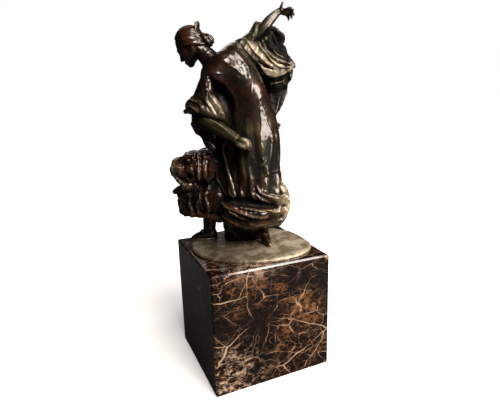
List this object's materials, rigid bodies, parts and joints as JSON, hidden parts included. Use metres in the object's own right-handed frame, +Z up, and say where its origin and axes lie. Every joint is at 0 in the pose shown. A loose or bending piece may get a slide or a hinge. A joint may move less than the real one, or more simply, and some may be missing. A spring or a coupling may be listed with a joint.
{
  "type": "bronze statuette",
  "caption": "Patinated bronze dancer in a flowing gown, one arm raised, on a thin cast oval plinth bolted to a polished dark veined marble cube.",
  "frame": {"origin": "centre of the felt pad's underside, the face that the statuette rests on", "axes": "+Z up; X and Y along the marble block's sides, -Y the side that the figure shows her left flank to; she faces between -X and +Y"},
  "size_m": [0.1278, 0.12, 0.3578],
  "materials": {
    "bronze": "dark brown patina over bronze, waxed, worn brighter on the ridges",
    "marble": "polished dark brown marble with pale golden veins",
    "felt": "dark green wool felt",
    "steel": "zinc plated steel"
  },
  "bodies": {
    "root": {"head": "bronze", "hair_comb": "bronze", "raised_sleeve": "bronze", "raised_arm": "bronze", "shawl_fall": "bronze", "near_forearm": "bronze", "near_upper_arm": "bronze", "near_sleeve": "bronze", "sleeve_tip": "bronze", "upper_flounce": "bronze", "lower_flounce": "bronze", "hem_knot": "bronze", "front_leg": "bronze", "rear_leg": "bronze", "rear_shoe": "bronze", "upper_gown": "bronze", "lower_gown": "bronze", "waist_pins": "bronze", "plinth": "bronze", "marble_block": "marble", "felt_pad": "felt", "mounting_studs": "steel", "washers": "steel", "nuts": "steel"}
  },
  "joints": []
}
